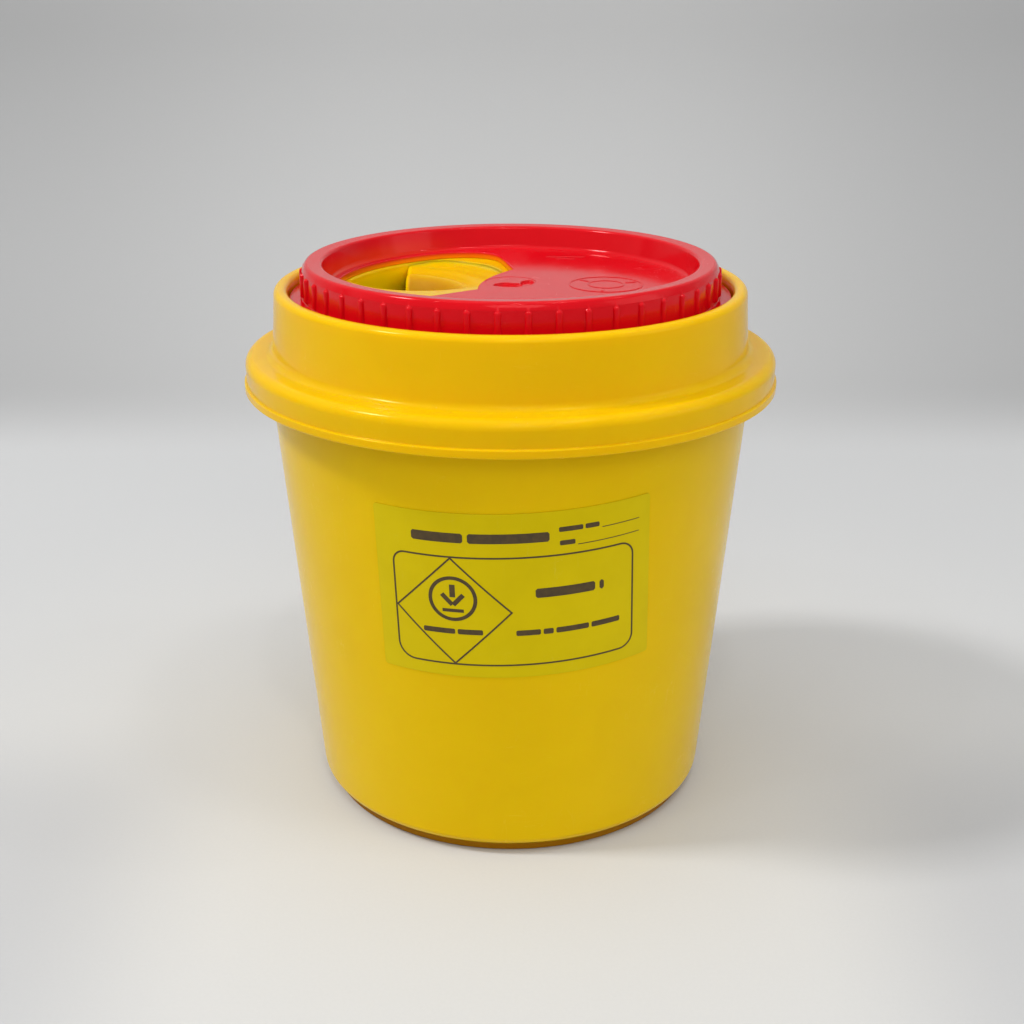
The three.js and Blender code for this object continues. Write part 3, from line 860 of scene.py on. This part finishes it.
def dial_moulding():
    dish_under = DISH_Z - DISH_THICKNESS
    skin = 2.0
    wall_rows = [FLANGE_Z + 1.2 + 1.1 * i for i in range(7)]
    top_rows = [RIB_TOP - RIB_HALF_WIDTH * f for f in (1.0, 0.8, 0.6, 0.4, 0.25, 0.12, 0.03)]
    outside = rounded([
        [62.3, DISH_Z],
        [DISH_RADIUS, DISH_Z, 1.9],
        [66.2, RIM_TOP - 0.4, 1.3],
        [71.9, RIM_TOP, 1.5],
        [DIAL_WALL, RIB_TOP + 0.2],
    ], closed=False)
    for height in sorted(top_rows + wall_rows, reverse=True):
        outside.append(Vector((DIAL_WALL, height)))
    inside = rounded([
        [DIAL_WALL, FLANGE_Z + 1],
        [DIAL_WALL, FLANGE_Z, 0.5],
        [FLANGE_RADIUS, FLANGE_Z, 0.5],
        [FLANGE_RADIUS, FLANGE_UNDER, 0.5],
        [DIAL_WALL - skin, FLANGE_UNDER, 0.4],
        [DIAL_WALL - skin, RIB_TOP - 1, 1.0],
        [71.2 - skin, RIM_TOP - skin, 0.8],
        [66.3 + skin, RIM_TOP - skin, 0.8],
        [DISH_RADIUS + skin, dish_under, 0.4],
        [DISH_RADIUS - 1, dish_under],
    ], closed=False)
    bm = bmesh.new()
    rings = revolve(bm, outside + inside[1:], rib_angles(), closed=False, reshape=ribbed)
    lip = eased_lip(0.5, DISH_Z, 0.15, 15)
    lip += [(0, DISH_Z - 0.7), (0, dish_under + 0.4), (0.25, dish_under)]
    window_rings = band(bm, window_outline(), lip)
    seat = circle(HEAD_RADIUS + SEAT_CLEARANCE, 144)
    seat_floor = DISH_Z - HEAD_SEAT_DEPTH
    seat_steps = [(0.15, DISH_Z), (0.05, DISH_Z), (0, DISH_Z - 0.05), (0, seat_floor)]
    seat_rings = band(bm, seat, seat_steps)
    shaft_rings = band(bm, circle(SHAFT_HOLE, 144), [(0, seat_floor), (0, dish_under)])
    bridge(bm, seat_rings[-1], shaft_rings[0])
    plate(bm, [rings[0], window_rings[0], seat_rings[0]])
    plate(bm, [rings[-1], window_rings[-1], shaft_rings[-1]])
    mark = Vector((33.5, -4.6))
    raised_ring(bm, mark, 12.8, 0.7, 0.2)
    raised_ring(bm, mark, 6.2, 0.7, 0.18)
    for degrees in (20, 140, 260):
        turn = math.radians(degrees)
        raised_bar(bm, mark + spin(Vector((9.5, 0)), turn), 4.0, 1.1, 0.18, turn)
    raised_bar(bm, (21, 46.5), 15, 1.6, 0.2)
    raised_bar(bm, (21, 43), 7, 1.6, 0.2)
    return piece("dial_moulding", bm, "dial", ["closure_dial"], DIAL_PLASTIC)


def smooth_step(low, high, value):
    t = min(1.0, max(0.0, (value - low) / (high - low)))
    return t * t * (3 - 2 * t)


def curve_at(points, x):
    """The y of a smooth line through points (x, y) of rising x."""
    if x <= points[0][0]:
        return points[0][1]
    for (x0, y0), (x1, y1) in zip(points, points[1:]):
        if x <= x1:
            return y0 + (y1 - y0) * smooth_step(x0, x1, x)
    return points[-1][1]


FRONT_STEP = [(-6.2, -5.6), (-5.2, -2.6), (-2.6, -0.8), (1.6, -2.0), (6.4, -4.2), (8.6, -5.6)]
BACK_STEP = [(3.4, 0.2), (4.6, 2.2), (6.6, 3.4), (9.2, 1.2), (11.0, -2.6)]


def hub_recess(x, y):
    """Depth of the two finger steps in the pin's head; the back one starts where the front one fades."""
    low = smooth_step(0.14, -0.14, y - curve_at(FRONT_STEP, x))
    low *= 1 - smooth_step(3.6, 7.0, x) * smooth_step(-6.0, -3.0, y)
    high = smooth_step(0.14, -0.14, y - curve_at(BACK_STEP, x)) * smooth_step(3.2, 4.4, x)
    return max(0.8 * low, high * (0.75 + 0.1 * low))


def hub_pin():
    """The slotted head, flush in the dish, on a shaft with a barb below the lid."""
    seat_floor = DISH_Z - HEAD_SEAT_DEPTH
    barb_top = PLATEAU_Z - LID_WALL - 0.3
    recess_radius = HEAD_RADIUS - 0.8
    bm = bmesh.new()
    count = 180
    centre = bm.verts.new((0, 0, HEAD_TOP * MM))
    rings = [[centre]]
    head_rings = 60
    for k in range(1, head_rings + 1):
        r = (HEAD_RADIUS - 0.2) * k / head_rings
        verts = []
        for angle in even_angles(count):
            x, y = r * math.cos(angle), r * math.sin(angle)
            edge = smooth_step(recess_radius + 0.3, recess_radius - 0.3, r)
            z = HEAD_TOP - edge * hub_recess(x, y)
            verts.append(bm.verts.new((x * MM, y * MM, z * MM)))
        rings.append(verts)
    side = rounded([
        [HEAD_RADIUS - 0.06, HEAD_TOP],
        [HEAD_RADIUS, HEAD_TOP - 0.06],
        [HEAD_RADIUS, seat_floor + 0.2],
        [SHAFT_RADIUS, seat_floor + 0.2, 0.2],
        [SHAFT_RADIUS, barb_top],
        [BARB_RADIUS, barb_top, 0.2],
        [BARB_RADIUS, barb_top - 2, 0.6],
        [4.2, PIN_LOW.z, 0.6],
        [0, PIN_LOW.z],
    ], closed=False)
    for first, second in zip(rings, rings[1:]):
        bridge(bm, first, second)
    side_rings = revolve(bm, side, even_angles(count), closed=False)
    bridge(bm, rings[-1], side_rings[0])
    return piece("hub_pin", bm, "lid", ["pivot_pin"], DIAL_PLASTIC)


# ---- label ----

SIN_HALF = TUB_FLARE / math.hypot(1, TUB_FLARE)
COS_HALF = 1 / math.hypot(1, TUB_FLARE)
LABEL_SLANT = tub_radius(LABEL_CENTRE_Z) / SIN_HALF


def on_cone(across, up, lift):
    """A point of the flat label laid on the tub's cone, in metres; lift is its distance off the wall."""
    x = LABEL_ARC_OFFSET + across * math.cos(LABEL_TILT) - up * math.sin(LABEL_TILT)
    y = across * math.sin(LABEL_TILT) + up * math.cos(LABEL_TILT)
    slant = LABEL_SLANT + y
    distance = math.hypot(slant, x)
    angle = math.atan2(x, slant) / SIN_HALF
    radius = distance * SIN_HALF + lift * COS_HALF
    z = LABEL_CENTRE_Z + (distance - LABEL_SLANT) * COS_HALF - lift * SIN_HALF
    return Vector((radius * math.sin(angle), -radius * math.cos(angle), z)) * MM


def front_label():
    """The film itself, with small round corners."""
    corner = 1.2
    half_width, half_height = LABEL_WIDTH / 2, LABEL_HEIGHT / 2
    ends = [corner * (1 - math.cos(math.radians(a))) for a in range(0, 91, 15)]
    inner_columns = 80
    span = LABEL_WIDTH - 2 * corner
    columns = [-half_width + e for e in ends]
    columns += [-half_width + corner + span * i / inner_columns for i in range(1, inner_columns)]
    columns += [half_width - e for e in reversed(ends)]
    rows = 40
    bm = bmesh.new()
    layers = []
    for lift in (LABEL_LIFT, LABEL_LIFT + LABEL_THICKNESS):
        grid = []
        for x in columns:
            inset = corner - min(corner, half_width - abs(x))
            reach = half_height - corner + math.sqrt(max(0.0, corner ** 2 - inset ** 2))
            heights = [reach * (2 * j / rows - 1) for j in range(rows + 1)]
            grid.append([bm.verts.new(on_cone(x, y, lift)) for y in heights])
        layers.append(grid)
    low, high = layers
    slab(bm, high, low)
    return piece("front_label", bm, "tub", ["label"], LABEL_FILM)


def ink_rung(bm, left, right):
    """One cross-section of a printed line: its two sides (across, up), on the film and on top of the ink."""
    corners = ((left, 0), (right, 0), (right, 1), (left, 1))
    return [bm.verts.new(on_cone(*side, INK_BASE + up * INK_THICKNESS)) for side, up in corners]


def ink_skin(bm, rungs, closed=False):
    """Joins cross-sections into a solid line, capped unless it is closed."""
    following = rungs[1:] + (rungs[:1] if closed else [])
    for first, second in zip(rungs, following):
        for k in range(4):
            bm.faces.new((first[k], first[(k + 1) % 4], second[(k + 1) % 4], second[k]))
    if not closed:
        bm.faces.new(list(reversed(rungs[0])))
        bm.faces.new(rungs[-1])


def ink_stroke(bm, path, width, closed=False):
    """A printed line of even width along a path, cut into short lengths that follow the tub."""
    fine = []
    count = len(path)
    for i in range(count if closed else count - 1):
        start, end = path[i], path[(i + 1) % count]
        pieces = max(1, math.ceil((end - start).length / INK_STEP))
        fine.extend(start.lerp(end, k / pieces) for k in range(pieces))
    if not closed:
        fine.append(path[-1])
    rungs = []
    total = len(fine)
    for i, here in enumerate(fine):
        ahead = fine[(i + 1) % total] if closed or i < total - 1 else here
        behind = fine[i - 1] if closed or i > 0 else here
        go = (ahead - here).normalized() if ahead != here else Vector((0, 0))
        come = (here - behind).normalized() if behind != here else Vector((0, 0))
        mean = (go + come).normalized()
        normal = Vector((-mean.y, mean.x))
        stretch = max(0.5, abs(normal.dot(Vector((-go.y, go.x))))) if go.length else 1.0
        side = normal * (width / 2 / stretch)
        rungs.append(ink_rung(bm, here - side, here + side))
    ink_skin(bm, rungs, closed)


def ink_bar(bm, left, right, middle, height):
    """A plain printed bar that stands where a line of words would be, with eased ends."""
    ease = height * 0.18
    half = height / 2
    steps = [(left, half - ease), (left + ease, half)]
    inner = max(1, math.ceil((right - left) / INK_STEP))
    steps += [(left + ease + (right - left - 2 * ease) * i / inner, half) for i in range(1, inner)]
    steps += [(right - ease, half), (right, half - ease)]
    ink_skin(bm, [ink_rung(bm, (x, middle - reach), (x, middle + reach)) for x, reach in steps])


def ink_words(bm, left, right, middle, height, gaps):
    """A row of bars with spaces at the given fractions of its length."""
    space = height * 0.45
    marks = [left] + [left + (right - left) * g for g in gaps] + [right]
    for i, (start, end) in enumerate(zip(marks, marks[1:])):
        before = space / 2 if i else 0
        after = space / 2 if i < len(gaps) else 0
        ink_bar(bm, start + before, end - after, middle, height)


def label_print():
    """Generic print: a frame, a diamond with a drop-in arrow, fill-in lines and plain bars for words."""
    bm = bmesh.new()
    frame_line, diamond_line, thin_line = 0.62, 0.6, 0.28
    left, right, top, bottom = -40.6, 40.4, 14.4, -25.3
    corners = [[left, bottom, 6.0], [right, bottom, 5.0], [right, top, 4.5], [left, top, 4.2]]
    border = rounded(corners, closed=True)
    ink_stroke(bm, border, frame_line, closed=True)
    middle = Vector((-20.6, -5.5))
    reach = 19.5
    diamond = [middle + Vector(p) * reach for p in ((0, 1), (-1, 0), (0, -1), (1, 0))]
    ink_stroke(bm, diamond, diamond_line, closed=True)
    emblem = Vector((-20.4, -0.8))
    ink_stroke(bm, [p + emblem for p in circle(7.6, 72)], 1.25, closed=True)
    ink_stroke(bm, [emblem + Vector((0, 5.2)), emblem + Vector((0, 0.6))], 1.9)
    for side in (-1, 1):
        ink_stroke(bm, [emblem + Vector((side * 3.6, 1.6)), emblem + Vector((side * 0.15, -2.2))], 1.6)
    ink_stroke(bm, [emblem + Vector((-3.6, -4.3)), emblem + Vector((3.6, -4.3))], 1.2)
    ink_words(bm, -31, -10.8, -12.9, 1.9, (0.56,))
    ink_words(bm, -33.4, 11.8, 21.3, 3.4, (0.40,))
    ink_words(bm, 14.9, 28.4, 23.4, 1.7, (0.62,))
    ink_stroke(bm, [Vector((29.4, 22.1)), Vector((42.8, 22.2))], thin_line)
    ink_words(bm, 15.1, 20.2, 18.6, 1.7, ())
    ink_stroke(bm, [Vector((21.1, 17.4)), Vector((42.7, 17.6))], thin_line)
    ink_words(bm, 6.8, 29.8, 1.2, 3.4, (0.9,))
    ink_words(bm, 0.1, 35.5, -13.2, 2.0, (0.24, 0.36, 0.70))
    return piece("label_print", bm, "tub", [], LABEL_INK)


tub_moulding()
lid_moulding()
dial_moulding()
hub_pin()
front_label()
label_print()

# ---- studio ----

# Besides the floor tone, these paper tones are painted shade and painted light.
PAPER_FLOOR = (0.60, 0.598, 0.59, 1)
PAPER_FAR_PAINTED_SHADE = (0.562, 0.564, 0.564, 1)
PAPER_NEAR_PAINTED_SHADE = (0.49, 0.493, 0.50, 1)
PAPER_HORIZON_PAINTED_LIGHT = (0.90, 0.905, 0.91, 1)
PAPER_WALL_SIDE_PAINTED_SHADE = (0.37, 0.37, 0.37, 1)
PAPER_WALL_PAINTED_SHADE = (0.47, 0.47, 0.468, 1)
WORLD_STRENGTH = 0.72
LIGHTS = [
    # name, azimuth, elevation, distance, size, power
    ("key_light", -79.5, 50.5, 2.5, (0.33, 0.33), 27.0),
    ("front_light", 3, 38, 1.6, (0.7, 0.35), 2.6),
    ("front_spark", 4, 58, 1.5, (0.07, 0.07), 1.1),
    ("left_spark", -48, 52, 1.5, (0.06, 0.06), 0.5),
    ("right_spark", 78, 52, 1.5, (0.06, 0.06), 0.5),
    ("right_light", 47, 66, 1.6, (0.2, 0.2), 1.8),
    ("right_fill", 70, 22, 1.6, (0.8, 0.8), 2.4),
    ("top_light", 0, 80, 1.4, (1.0, 1.0), 2.2),
]


def studio_paper():
    """Matt paper, nearly white underfoot, with painted shade that makes it greyer where it sweeps up and
    darker away from the object, in the near corners and at the wall's sides, and painted light that makes it
    paler towards the horizon.
    """
    material, n, shader = blank_material("studio_paper")
    grain = n.remap(n.noise(n.place(), 0.8, 3.0, 0.6), 0.3, 0.7, 0.985, 1.0)
    distance = n.add("ShaderNodeVectorMath", {0: n.place()}, operation="LENGTH").outputs["Value"]
    spot = spot_in_mm(n)
    depth = spot["Y"]
    aside = n.math("ABSOLUTE", spot["X"])
    sweep = n.remap(depth, 375.0, 480.0)
    # Painted shade: the sweep is greyer, and darker still towards its sides.
    wall = n.mix(n.remap(aside, 60.0, 430.0), PAPER_WALL_PAINTED_SHADE, PAPER_WALL_SIDE_PAINTED_SHADE)
    # Painted shade: the floor darkens away from the object.
    far = n.mix(n.remap(distance, 130.0, 360.0), PAPER_FLOOR, PAPER_FAR_PAINTED_SHADE)
    # Painted shade in the near corners of the floor.
    near_corner_shade = n.math("MULTIPLY", n.remap(depth, 40.0, -60.0), n.remap(aside, 90.0, 170.0))
    fading = n.math("MULTIPLY", near_corner_shade, n.remap(distance, 900.0, 250.0))
    # Painted light: the far floor pales towards the horizon.
    open_floor = n.mix(n.remap(distance, 700.0, 3500.0), far, PAPER_HORIZON_PAINTED_LIGHT)
    near = n.mix(fading, open_floor, PAPER_NEAR_PAINTED_SHADE)
    tone = n.mix(sweep, near, wall)
    fleck = n.add("ShaderNodeCombineColor", {0: grain, 1: grain, 2: grain}).outputs[0]
    n.wire(n.mix(1.0, tone, fleck, "MULTIPLY"), shader.inputs["Base Color"])
    set_constants(shader, Roughness=0.7, Specular_IOR_Level=0.3)
    return material


def studio_floor():
    """A pale floor that sweeps up into a backdrop behind the object; painted shade in its paper makes the
    backdrop greyer.
    """
    bm = bmesh.new()
    half_width, front, bend_at, bend, height = 12.0, -12.0, 0.38, 0.25, 1.6
    rows = [(front, 0.0), (0.0, 0.0), (bend_at, 0.0)]
    for i in range(1, 25):
        a = math.radians(90 * i / 24)
        rows.append((bend_at + bend * math.sin(a), bend * (1 - math.cos(a))))
    rows.append((bend_at + bend, height))
    strips = [[bm.verts.new((x, y, z)) for x in (-half_width, half_width)] for y, z in rows]
    for first, second in zip(strips, strips[1:]):
        bm.faces.new((first[0], first[1], second[1], second[0]))
    mesh = bpy.data.meshes.new("studio_floor")
    bm.to_mesh(mesh)
    bm.free()
    mesh.polygons.foreach_set("use_smooth", [True] * len(mesh.polygons))
    floor = bpy.data.objects.new("studio_floor", mesh)
    bpy.context.scene.collection.objects.link(floor)
    floor.data.materials.append(studio_paper())


def softbox(name, azimuth, elevation, distance, size, power):
    """An area light aimed at the object; azimuth 0 is the front and grows towards +X."""
    light = bpy.data.lights.new(name, "AREA")
    light.shape = "RECTANGLE"
    light.size, light.size_y = size
    light.energy = power
    lamp = bpy.data.objects.new(name, light)
    a, e = math.radians(azimuth), math.radians(elevation)
    aim = Vector((0, 0, (CAD_BOX[0].z + CAD_BOX[1].z) / 2))
    away = Vector((math.sin(a) * math.cos(e), -math.cos(a) * math.cos(e), math.sin(e)))
    lamp.location = aim + away * distance
    lamp.rotation_mode = "QUATERNION"
    lamp.rotation_quaternion = away.to_track_quat("Z", "Y")
    bpy.context.scene.collection.objects.link(lamp)


def studio_light():
    world = bpy.data.worlds.new("studio_world")
    world.use_nodes = True
    world.node_tree.nodes["Background"].inputs["Color"].default_value = (0.98, 0.99, 1.0, 1)
    world.node_tree.nodes["Background"].inputs["Strength"].default_value = WORLD_STRENGTH
    bpy.context.scene.world = world
    for light in LIGHTS:
        softbox(*light)


studio_floor()
studio_light()
bpy.context.scene.view_settings.view_transform = "Standard"
